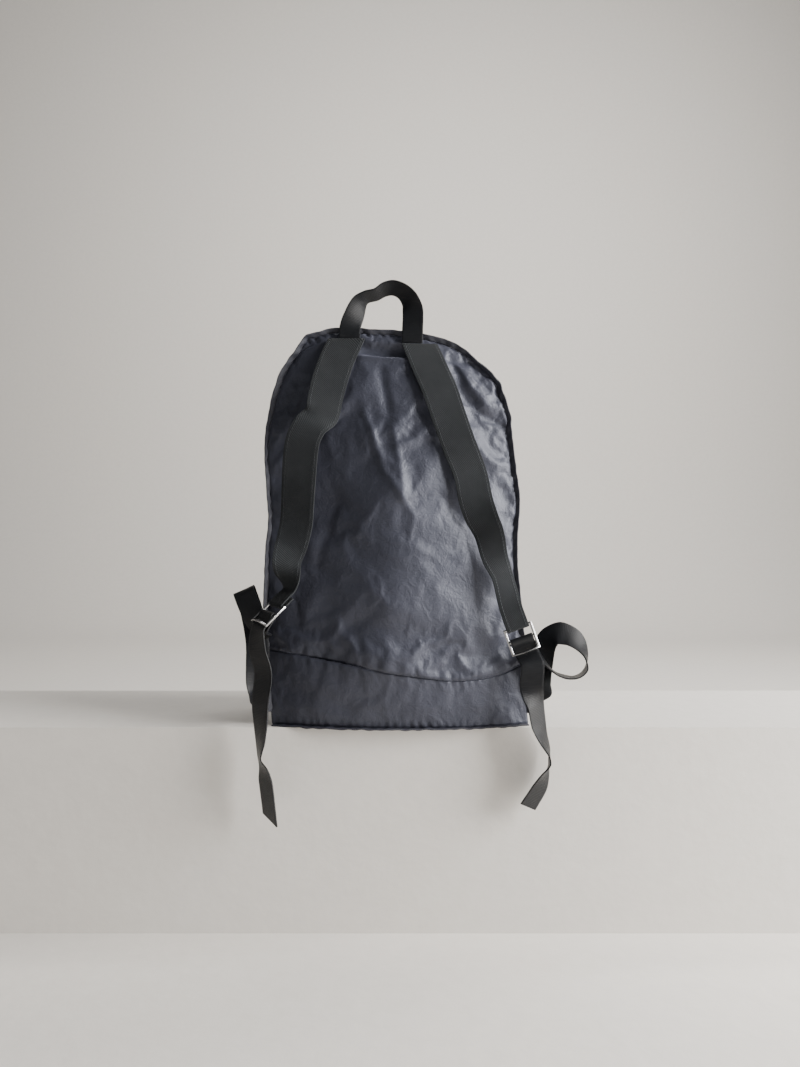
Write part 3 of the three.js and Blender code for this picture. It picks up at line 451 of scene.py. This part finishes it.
def edit(piece):
    """Opens a piece in edit mode, with all of its faces selected."""
    choose(piece)
    bpy.ops.object.mode_set(mode="EDIT")
    bpy.ops.mesh.select_mode(type="FACE")
    bpy.ops.mesh.select_all(action="SELECT")


def cad_copy(name, node):
    """A new piece with the mesh of a CAD node and without its material."""
    piece = bpy.data.objects.new(name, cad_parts[node].data.copy())
    piece.data.materials.clear()
    bpy.context.scene.collection.objects.link(piece)
    return piece


def outer_face(name, node, outwards):
    """A new piece: the outer side of a CAD cloth wall, in quads."""
    piece = cad_copy(name, node)
    edit(piece)
    bpy.ops.mesh.remove_doubles(threshold=WELD)
    bpy.ops.mesh.select_all(action="DESELECT")
    shell = bmesh.from_edit_mesh(piece.data)
    way = Vector(outwards)
    facing = [face for face in shell.faces if face.normal.dot(way) > FACING_SHARE]
    best = max(facing, key=lambda face: face.calc_center_median().dot(way))
    best.select_set(True)
    bmesh.update_edit_mesh(piece.data)
    bpy.ops.mesh.faces_select_linked_flat(sharpness=FLAT_ANGLE)
    bpy.ops.mesh.select_all(action="INVERT")
    bpy.ops.mesh.delete(type="FACE")
    bpy.ops.mesh.select_all(action="SELECT")
    bpy.ops.mesh.tris_convert_to_quads(face_threshold=QUAD_ANGLE, shape_threshold=QUAD_SHAPE)
    bpy.ops.object.mode_set(mode="OBJECT")
    return piece


def per_point(piece, what):
    """A vector of every point of a piece, "co" or "normal", as rows of three."""
    flat = np.zeros(len(piece.data.vertices) * 3)
    piece.data.vertices.foreach_get(what, flat)
    return flat.reshape(-1, 3)


def move_to(piece, places):
    piece.data.vertices.foreach_set("co", np.asarray(places, float).ravel())
    piece.data.update()


def edge_distance(piece):
    """How far each point of a sheet lies from its rim."""
    sheet = bmesh.new()
    sheet.from_mesh(piece.data)
    rim = [vertex.co.copy() for vertex in sheet.verts if vertex.is_boundary]
    sheet.free()
    tree = KDTree(len(rim))
    for index, place in enumerate(rim):
        tree.insert(place, index)
    tree.balance()
    return np.array([tree.find(vertex.co)[2] for vertex in piece.data.vertices])


# %% [markdown]
# ## Crumples
#
# A lattice of random values, drawn once with a fixed seed, gives the relief: large soft
# rumples, and sharp creases where the noise folds over at its middle. It depends on the
# place alone, so two neighbouring cloths crumple alike at their seam.

# %% Relief of crumpled cloth
LATTICE_SEED, LATTICE_SIDE = 7, 32
LATTICE = np.random.default_rng(LATTICE_SEED).random((LATTICE_SIDE,) * 3)
# Each layer of the relief: its spacing in metres and its height in millimetres
WIDE_RUMPLES, SMALL_RUMPLES = (0.042, 1.2), (0.022, 0.6)
SHARP_CREASES, FINE_CREASES = (0.036, 1.4), (0.015, 0.5)
WARP_SPACING, WARP_REACH, WARP_SHIFTS = 0.05, 0.012, (0.3, 1.7, 2.9)


def soft_noise(places, spacing):
    """Smooth noise from -1 to 1 on a lattice of random values, spaced in metres."""
    grid = places / spacing
    low = np.floor(grid).astype(int)
    share = grid - low
    share = share * share * (3 - 2 * share)
    total = np.zeros(len(places))
    for dx in (0, 1):
        for dy in (0, 1):
            for dz in (0, 1):
                weight = (
                    (share[:, 0] if dx else 1 - share[:, 0])
                    * (share[:, 1] if dy else 1 - share[:, 1])
                    * (share[:, 2] if dz else 1 - share[:, 2])
                )
                corner = (low + (dx, dy, dz)) % len(LATTICE)
                total += weight * LATTICE[corner[:, 0], corner[:, 1], corner[:, 2]]
    return 2 * total - 1


def crumple(places):
    """Height of the crumpled cloth over its smooth shape, in metres."""
    warp = np.column_stack([soft_noise(places + shift, WARP_SPACING) for shift in WARP_SHIFTS])
    bent = places + WARP_REACH * warp
    (wide, wide_height), (small, small_height) = WIDE_RUMPLES, SMALL_RUMPLES
    (sharp, sharp_height), (fine, fine_height) = SHARP_CREASES, FINE_CREASES
    rumples = soft_noise(bent, wide) * wide_height + soft_noise(bent + 5, small) * small_height
    creases = np.clip(1 - np.abs(soft_noise(bent + 9, sharp)) * 2.2, 0, 1) ** 3 * sharp_height
    thin = (np.clip(1 - np.abs(soft_noise(bent + 3, fine)) * 2.5, 0, 1) ** 2) * fine_height
    return (rumples + creases + thin) * MM


# %% [markdown]
# ## Creases
#
# Some creases are the photographed pack's own: the tuck between the straps, the forked
# ridge down the middle and the kinks at the right shoulder. They are pressed into the
# harness side from a short table, and every sewn edge gets the small gathers that come
# from easing thin cloth into a seam.

# %% Creases of the harness side
# x, z: the run's ends in millimetres. height: below nought for a groove. width: of one side
CREASES = [
    {"x": (-42, 18), "z": (405, 402), "height": -3.2, "width": 3.6},
    {"x": (-40, 22), "z": (397, 394), "height": 2.2, "width": 3.6},
    {"x": (-39, -30), "z": (338, 317), "height": 1.8, "width": 4.0},
    {"x": (-30, -16), "z": (317, 274), "height": 1.8, "width": 3.6},
    {"x": (-16, 14), "z": (274, 227), "height": 1.6, "width": 3.6},
    {"x": (-7, 4), "z": (322, 251), "height": 1.5, "width": 3.4},
    {"x": (-5, 24), "z": (297, 313), "height": 1.2, "width": 3.2},
    {"x": (-40, -23), "z": (346, 348), "height": 1.0, "width": 3.0},
    {"x": (-20, -12), "z": (380, 333), "height": -2.2, "width": 3.6},
    {"x": (-9, 8), "z": (383, 387), "height": 1.5, "width": 5.0},
    {"x": (14, 23), "z": (377, 349), "height": 1.2, "width": 5.0},
    {"x": (39, 61), "z": (407, 362), "height": 1.6, "width": 5.0},
    {"x": (55, 66), "z": (392, 370), "height": -2.2, "width": 4.0},
    {"x": (72, 92), "z": (352, 318), "height": -1.8, "width": 4.0},
    {"x": (84, 112), "z": (322, 300), "height": 1.8, "width": 4.5},
    {"x": (42, 69), "z": (248, 222), "height": -1.3, "width": 3.4},
    {"x": (0, 45), "z": (200, 178), "height": 1.1, "width": 4.5},
    {"x": (-66, -88), "z": (250, 170), "height": -1.6, "width": 6.0},
    {"x": (-30, -70), "z": (120, 96), "height": -1.6, "width": 5.0},
    {"x": (96, 122), "z": (66, 58), "height": -1.4, "width": 4.0},
]
FAINT_END = 0.35
GATHER_HEIGHT, GATHER_PITCH, GATHER_REACH, GATHER_START = 0.9 * MM, 8.5 * MM, 7 * MM, 2 * MM


def pressed_creases(places):
    """Height of the photographed creases at places on the harness side, in metres."""
    height = np.zeros(len(places))
    spots = places[:, [0, 2]] / MM
    for crease in CREASES:
        start, end = (np.array([crease["x"][k], crease["z"][k]]) for k in (0, 1))
        run = end - start
        share = np.clip((spots - start) @ run / (run @ run), 0, 1)
        away = np.linalg.norm(spots - start - share[:, None] * run, axis=1)
        fading = FAINT_END + (1 - FAINT_END) * np.sin(math.pi * (0.15 + 0.7 * share))
        height += crease["height"] * fading * np.exp(-((away / crease["width"]) ** 2))
    return height * MM


def gathers(places, rim):
    """Small waves across a sewn edge, which die out over a few millimetres."""
    uneven = 1 + 0.8 * soft_noise(places, 0.03)
    turn = 2 * math.pi * (places[:, 0] + places[:, 2] * 0.4) / GATHER_PITCH
    wave = np.sin(turn + 3 * soft_noise(places, 0.02))
    dying = np.exp(-((rim / GATHER_REACH) ** 2))
    return GATHER_HEIGHT * uneven * wave * dying * np.clip(rim / GATHER_START, 0, 1)


# %% [markdown]
# ## Crumples by simulation
#
# A cloth that is slightly too large for its frame cannot lie flat: it buckles into the
# same soft folds that the eye knows from nylon. So each cloth is held at its rim, held
# weakly at every other point, and grown by a few percent. The slow swell that comes with
# it would change the pack's shape, so only the folds are kept, and none may rise into a
# strap in front of it.

# %% Grow a cloth until it buckles
FRAMES = 16
HELD_WEAKLY = 0.05
START_SHARE = 0.3
SWELL_PASSES, SWELL_SHARE = 110, 0.9
GREATEST_FOLD = 7 * MM
RIM_CLOSE, RIM_FADE, CREASE_FADE = 0.01 * MM, 9 * MM, 6 * MM
CALM, CALM_LEAST = 0.42, 0.55
STRAP_CLEARANCE, STRAP_SEARCH, FREE = 1.0 * MM, 0.03, 1.0
CLOTH_THICKNESS, MEET_REACH = 1.0 * MM, 20 * MM
RIBBONS = ("shoulder", "adjuster", "grab")
IN_FRONT = [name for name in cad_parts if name.split("_")[0] in RIBBONS]


def smoothed(piece, values, passes):
    """Values on a mesh after many rounds of averaging each point with its neighbours."""
    ends = np.zeros(2 * len(piece.data.edges), int)
    piece.data.edges.foreach_get("vertices", ends)
    first, second = ends.reshape(-1, 2).T
    count = len(piece.data.vertices)
    beside = np.bincount(first, minlength=count) + np.bincount(second, minlength=count)
    for _ in range(passes):
        total = np.bincount(first, values[second], count)
        total = total + np.bincount(second, values[first], count)
        values = (values + total) / (1 + beside)
    return values


def crumpled_share(places):
    """Share of the folds that the harness side keeps: all past the right strap and under the
    top seam, and less down the middle, where the photographed cloth is drawn smooth."""
    across, up = places[:, 0], places[:, 2]
    strap_line = 0.105 - 0.27 * (up - 0.2)
    past_strap = np.clip((across - strap_line) / 0.025, 0, 1)
    low = np.clip((0.30 - up) / 0.05, 0, 1) * np.clip((up - 0.09) / 0.03, 0, 1)
    return CALM + (1 - CALM) * np.maximum(past_strap, 1 - low) * np.maximum(past_strap, CALM_LEAST)


def room_in_front(places, ways):
    """How far each point of a cloth may rise before it meets a ribbon in front of it."""
    trees = []
    for name in IN_FRONT:
        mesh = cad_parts[name].data
        corners = [vertex.co for vertex in mesh.vertices]
        faces = [list(face.vertices) for face in mesh.polygons]
        trees.append(BVHTree.FromPolygons(corners, faces))
    room = np.full(len(places), FREE)
    for index, (place, way) in enumerate(zip(places, ways)):
        for tree in trees:
            met, _, _, distance = tree.ray_cast(Vector(place), Vector(way), STRAP_SEARCH)
            if met is not None:
                room[index] = min(room[index], distance)
    return room - STRAP_CLEARANCE


def buckle(piece, growth):
    """Folds a cloth by simulation and returns how far each point moved along its normal."""
    start, ways, rim = per_point(piece, "co"), per_point(piece, "normal"), edge_distance(piece)
    held = piece.vertex_groups.new(name="held")
    for index, away in enumerate(rim):
        held.add([index], 1.0 if away < RIM_CLOSE else HELD_WEAKLY, "REPLACE")
    nudge = crumple(start) * START_SHARE * np.clip(rim / RIM_FADE, 0, 1)
    move_to(piece, start + ways * nudge[:, None])
    modifier = piece.modifiers.new("cloth", "CLOTH")
    cloth = modifier.settings
    cloth.quality = 5
    cloth.mass = 0.1
    cloth.tension_stiffness = cloth.compression_stiffness = 15
    cloth.shear_stiffness = 5
    cloth.bending_stiffness = 1
    cloth.air_damping = 1
    cloth.vertex_group_mass = "held"
    cloth.pin_stiffness = 1
    cloth.shrink_min = -growth
    cloth.effector_weights.gravity = 0
    modifier.point_cache.frame_start, modifier.point_cache.frame_end = 1, FRAMES
    for number in range(1, FRAMES + 1):
        bpy.context.scene.frame_set(number)
    apply_modifiers(piece)
    bpy.context.scene.frame_set(1)
    piece.vertex_groups.clear()
    moved = per_point(piece, "co") - start
    lift = (moved * ways).sum(axis=1)
    slide = moved - lift[:, None] * ways
    folds = lift - SWELL_SHARE * smoothed(piece, lift, SWELL_PASSES)
    return start, ways, folds, slide


def dress_cloth(name, node, outwards, levels, growth=0.045, strength=1.0, meet=0.0):
    """Turns a CAD cloth wall into crumpled nylon. meet lifts its top edge by so many metres
    to the cloth above it."""
    piece = outer_face(name, node, outwards)
    corners = {"boundary_smooth": "PRESERVE_CORNERS"}
    add_modifier(piece, "SUBSURF", levels=levels, render_levels=levels, **corners)
    apply_modifiers(piece)
    start, ways, folds, slide = buckle(piece, growth)
    rim = edge_distance(piece)
    if node == "back_panel":
        creases = pressed_creases(start) * np.clip(rim / CREASE_FADE, 0, 1)
        folds = folds * crumpled_share(start) + creases
    folds = folds * strength + gathers(start, rim)
    highest = np.minimum(room_in_front(start, ways), GREATEST_FOLD)
    lift = np.clip(folds, -GREATEST_FOLD, np.maximum(highest, -GREATEST_FOLD))
    places = start + slide + ways * lift[:, None]
    below_top = start[:, 2].max() - start[:, 2]
    places[:, 2] += meet * np.clip(1 - below_top / MEET_REACH, 0, 1)
    move_to(piece, places)
    add_modifier(piece, "SOLIDIFY", thickness=CLOTH_THICKNESS, offset=-1)
    apply_modifiers(piece)
    bpy.ops.object.shade_smooth()
    piece.data.materials.append(nylon)
    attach(piece, "root")
    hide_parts(node)
    highest_fold = round(float(lift.max()) / MM, 1)
    print(name, len(piece.data.polygons), "faces; folds up to", highest_fold, "mm")


# %% [markdown]
# The harness side crumples most, because its cloth is large and free. The narrow strips
# beside the zip, the band and the base are drawn tighter by their seams, so they grow less
# and keep a smaller share of their folds.

# %% Dress every cloth
dress_cloth("nylon_back_panel", "back_panel", (0, -1, 0), 2)
dress_cloth("nylon_back_band", "back_band", (0, -1, 0), 2, growth=0.03, strength=0.35)
dress_cloth("nylon_side_left", "side_panel_left", (-1, 0, 0), 3, meet=1.4 * MM)
dress_cloth("nylon_side_right", "side_panel_right", (1, 0, 0), 3, meet=1.4 * MM)
dress_cloth("nylon_top_back", "top_strip_back", (0, 0, 1), 3, growth=0.02, strength=0.5)
dress_cloth("nylon_top_front", "top_strip_front", (0, 0, 1), 3, growth=0.02, strength=0.5)
dress_cloth("nylon_front_panel", "front_panel", (0, 1, 0), 3)
dress_cloth("nylon_base", "base_panel", (0, 0, -1), 3, growth=0.02, strength=0.2)

# %% [markdown]
# ## Ribbons
#
# Straps, webbing, tapes and the handle are ribbons. In the CAD model each one is a chain
# of four-cornered rings. A flat grid of the ribbon's real width and length is laid along
# those rings, so that its weave keeps its true size, and then gets its thickness.

# %% Read the rings of a CAD ribbon
RING_WELD = 0.004 * MM
RIGHT_SIDE = 0.02


def ribbon_rings(node):
    """The rings of a CAD ribbon from one end to the other: middle, side and face vectors."""
    mesh = bmesh.new()
    mesh.from_mesh(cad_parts[node].data)
    bmesh.ops.remove_doubles(mesh, verts=mesh.verts, dist=RING_WELD)
    beside = {v: {e.other_vert(v) for e in v.link_edges} for v in mesh.verts}
    for edge in mesh.edges:
        corners = {v for face in edge.link_faces for v in face.verts}
        around = set().union(*(beside[v] for v in corners)) - corners
        if len(corners) == 4 and len(around) == 4:
            break
    first = edge.verts[0]
    third = edge.verts[1]
    second, fourth = corners - {first, third}
    ring = [first, second, third, fourth]
    rings, seen = [], set()
    while ring:
        rings.append([v.co.copy() for v in ring])
        seen |= set(ring)
        following = set().union(*(beside[v] for v in ring)) - seen
        if len(following) != 4:
            break
        ring = min(
            (
                order
                for order in permutations(following)
                if all(w in beside[v] for v, w in zip(ring, order))
            ),
            key=lambda order: sum((w.co - v.co).length for v, w in zip(ring, order)),
        )
    mesh.free()
    corners = np.array([[list(c) for c in ring] for ring in rings])
    for k, ring in enumerate(corners):
        if np.linalg.norm(ring[1] - ring[0]) < np.linalg.norm(ring[2] - ring[1]):
            ring = np.roll(ring, 1, axis=0)
        if k and (ring[1] - ring[0]) @ (corners[k - 1][1] - corners[k - 1][0]) < 0:
            ring = np.roll(ring, 2, axis=0)
        corners[k] = ring
    middle = corners.mean(axis=1)
    side = (corners[:, 1] + corners[:, 2] - corners[:, 0] - corners[:, 3]) / 2
    face = (corners[:, 3] + corners[:, 2] - corners[:, 0] - corners[:, 1]) / 2
    # A ring can be walked both ways round, so its sense is settled by the ribbon's run, and
    # a ribbon on the right of the pack mirrors its partner on the left
    mirror = 1 if middle[:, 0].mean() < RIGHT_SIDE else -1
    if mirror * (np.cross(side[0], face[0]) @ (middle[1] - middle[0])) < 0:
        side = -side
    return middle, side, face


def smooth_table(values, stations, wanted):
    """Values at the wanted places on a smooth curve through the stations."""
    slopes = np.gradient(values, stations, axis=0)
    index = np.clip(np.searchsorted(stations, wanted) - 1, 0, len(stations) - 2)
    step = (stations[index + 1] - stations[index])[:, None]
    t = (wanted[:, None] - stations[index][:, None]) / step
    start, end = values[index], values[index + 1]
    return (
        start * (2 * t**3 - 3 * t**2 + 1)
        + end * (3 * t**2 - 2 * t**3)
        + slopes[index] * step * (t**3 - 2 * t**2 + t)
        + slopes[index + 1] * step * (t**3 - t**2)
    )


# %% [markdown]
# The grid gets one row for every millimetre and a half, enough for the ribbon to bend
# softly and for its own relief to show. Its two maps are written in metres while the grid
# is still known to be flat. Solidify and a small bevel turn it into cloth with soft edges.

# %% Lay a ribbon
PACK_MIDDLE = np.array([0, 0, 0.2])
EDGE_SHARE, EDGE_STEPS = 0.25, 2
EDGE_ANGLE, SMOOTH_ANGLE = math.radians(60), math.radians(45)


def round_edges(piece, width, steps, angle):
    """Rounds the edges that are sharper than an angle, and applies all modifiers."""
    limits = {"limit_method": "ANGLE", "angle_limit": angle}
    add_modifier(piece, "BEVEL", width=width, segments=steps, **limits)
    apply_modifiers(piece)


def lay_ribbon(
    name, node, material, slot, relief=None, across=12, step=1.5 * MM, outwards=(0, -1, 0), tuck=0.0
):
    """A ribbon of cloth along a CAD ribbon. relief gives its height by place across and along,
    and tuck widens it by so many metres on the side of the pack's middle."""
    middle, side, face = ribbon_rings(node)
    cad_width = np.linalg.norm(side, axis=1)[:, None]
    inwards = np.sign((side * (PACK_MIDDLE - middle)).sum(axis=1)).mean()
    middle = middle + side / cad_width * (tuck / 2) * np.sign(inwards)
    side = side * (1 + tuck / cad_width)
    if face[:4].sum(axis=0) @ np.array(outwards) < 0:
        face, side = -face, -side
    spans = np.linalg.norm(np.diff(middle, axis=0), axis=1)
    stations = np.concatenate([[0], np.cumsum(spans)])
    length = stations[-1]
    rows = max(2, int(round(length / step)))
    bpy.ops.object.select_all(action="DESELECT")
    bpy.ops.mesh.primitive_grid_add(x_subdivisions=across, y_subdivisions=rows, size=1)
    piece = bpy.context.object
    piece.name = name
    flat = per_point(piece, "co")
    u, v = flat[:, 0], (flat[:, 1] + 0.5) * length
    width = np.linalg.norm(side, axis=1)
    thickness = np.linalg.norm(face, axis=1).mean()
    centre = smooth_table(middle, stations, v)
    reach = smooth_table(side, stations, v)
    out = smooth_table(face, stations, v)
    out /= np.linalg.norm(out, axis=1)[:, None]
    wide = np.interp(v, stations, width)
    height = relief(u, v) if relief else 0 * u
    move_to(piece, centre + reach * u[:, None] + out * height[:, None])
    piece.data.uv_layers[0].name = "flat"
    index = np.zeros(len(piece.data.loops), int)
    piece.data.loops.foreach_get("vertex_index", index)
    uv = np.column_stack([(u * wide)[index], v[index]])
    piece.data.uv_layers["flat"].data.foreach_set("uv", uv.ravel())
    to_edge = np.minimum((0.5 - np.abs(u)) * wide, v)
    piece.data.uv_layers.new(name="edge")
    rim_uv = np.column_stack([to_edge[index], (v + u * wide)[index]])
    piece.data.uv_layers["edge"].data.foreach_set("uv", rim_uv.ravel())
    add_modifier(piece, "SOLIDIFY", thickness=thickness, offset=0)
    round_edges(piece, EDGE_SHARE * thickness, EDGE_STEPS, EDGE_ANGLE)
    edit(piece)
    bpy.ops.mesh.normals_make_consistent(inside=False)
    bpy.ops.object.mode_set(mode="OBJECT")
    bpy.ops.object.shade_smooth_by_angle(angle=SMOOTH_ANGLE)
    piece.data.materials.append(material)
    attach(piece, "root")
    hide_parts(node)
    print(name, "length", round(length / MM), "mm,", len(piece.data.polygons), "faces")


# %% [markdown]
# The wide strap tape has a hem along both edges, where a row of stitches draws it down. The
# webbing is plainer: its woven edges are a little thicker, and it is never quite flat.

# %% Straps, handle and webbing


def hemmed(u, v):
    """Stitched-down hems along both edges, and a soft waviness."""
    near = 0.5 - np.abs(u)
    hem = 0.35 * np.exp(-((near - 0.03) / 0.03) ** 2)
    drawn_in = 0.3 * np.exp(-((near - 0.10) / 0.015) ** 2)
    wave = 0.5 * np.sin(v / 0.017 + 2 * u) * np.sin(v / 0.041)
    return (hem - drawn_in + wave) * MM


def plain_weave(u, v):
    """Thicker woven edges, and a slight waviness."""
    near = 0.5 - np.abs(u)
    return (0.15 * np.exp(-((near - 0.05) / 0.03) ** 2) + 0.15 * np.sin(v / 0.013)) * MM


lay_ribbon("strap_left", "shoulder_strap_left", twill, "twill", hemmed, across=18)
lay_ribbon("strap_right", "shoulder_strap_right", twill, "twill", hemmed, across=18)
lay_ribbon("handle", "grab_handle", webbing, "webbing", plain_weave)
lay_ribbon("adjuster_left", "adjuster_strap_left", webbing, "webbing", plain_weave)
lay_ribbon("adjuster_right", "adjuster_strap_right", webbing, "webbing", plain_weave)
lay_ribbon("zip_pull_tab", "zip_pull", webbing, "webbing", across=6, outwards=(-1, 0, 0))

# %% [markdown]
# ## Bindings
#
# The seams are bound with narrow tape that ruffles where the thin cloth is eased in.

# %% Bound seams
BINDING_TUCK = 1.6 * MM


def ruffled(u, v):
    """Ruffles of two sizes along a tape."""
    wide = 0.45 * np.sin(v / 0.0037) * np.cos(v / 0.011)
    return (wide + 0.25 * np.sin(v / 0.0021 + 3 * u)) * MM


for seam in ("back_arch", "front_arch", "back_base", "front_base"):
    settings = {"across": 6, "step": 1.2 * MM, "tuck": BINDING_TUCK}
    lay_ribbon("bound_" + seam, "binding_" + seam, binding, "binding", ruffled, **settings)

lay_ribbon("zip_tape_cloth", "zip_tape", binding, "zip", across=10, outwards=(-1, 0, 0))

# %% [markdown]
# ## Metal and what stays of the CAD model
#
# The buckles and the zip's slider have their true shape in the CAD model, so each one is
# copied and its edges are rounded, as cast metal's are. The closed coil keeps its CAD shape.

# %% Rounded metal
METAL_STEPS = 3
SAME_PLANE, METAL_EDGE, METAL_SMOOTH = (math.radians(degrees) for degrees in (2, 25, 50))


def rounded_metal(name, node, width):
    """A copy of a CAD metal piece with its edges rounded off."""
    piece = cad_copy(name, node)
    piece.data.materials.append(nickel)
    edit(piece)
    bpy.ops.mesh.remove_doubles(threshold=WELD)
    bpy.ops.mesh.dissolve_limited(angle_limit=SAME_PLANE)
    bpy.ops.mesh.normals_make_consistent(inside=False)
    bpy.ops.object.mode_set(mode="OBJECT")
    round_edges(piece, width, METAL_STEPS, METAL_EDGE)
    bpy.ops.object.shade_smooth_by_angle(angle=METAL_SMOOTH)
    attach(piece, "root")
    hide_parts(node)
    print(name, len(piece.data.polygons), "faces")


rounded_metal("ladder_lock_left", "buckle_left", 0.45 * MM)
rounded_metal("ladder_lock_right", "buckle_right", 0.45 * MM)
rounded_metal("slider_body", "zip_slider", 0.6 * MM)

# %% [markdown]
# The closed coil is one ribbed strip, and it shows only as a dark line over the top. Its CAD
# shape is enough, so it gets a finish and nothing else.

# %% Finish on the zip's coil
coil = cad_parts["zip_teeth"].data
coil.materials.clear()
coil.materials.append(thread)
print("zip_teeth", len(coil.polygons), "faces")
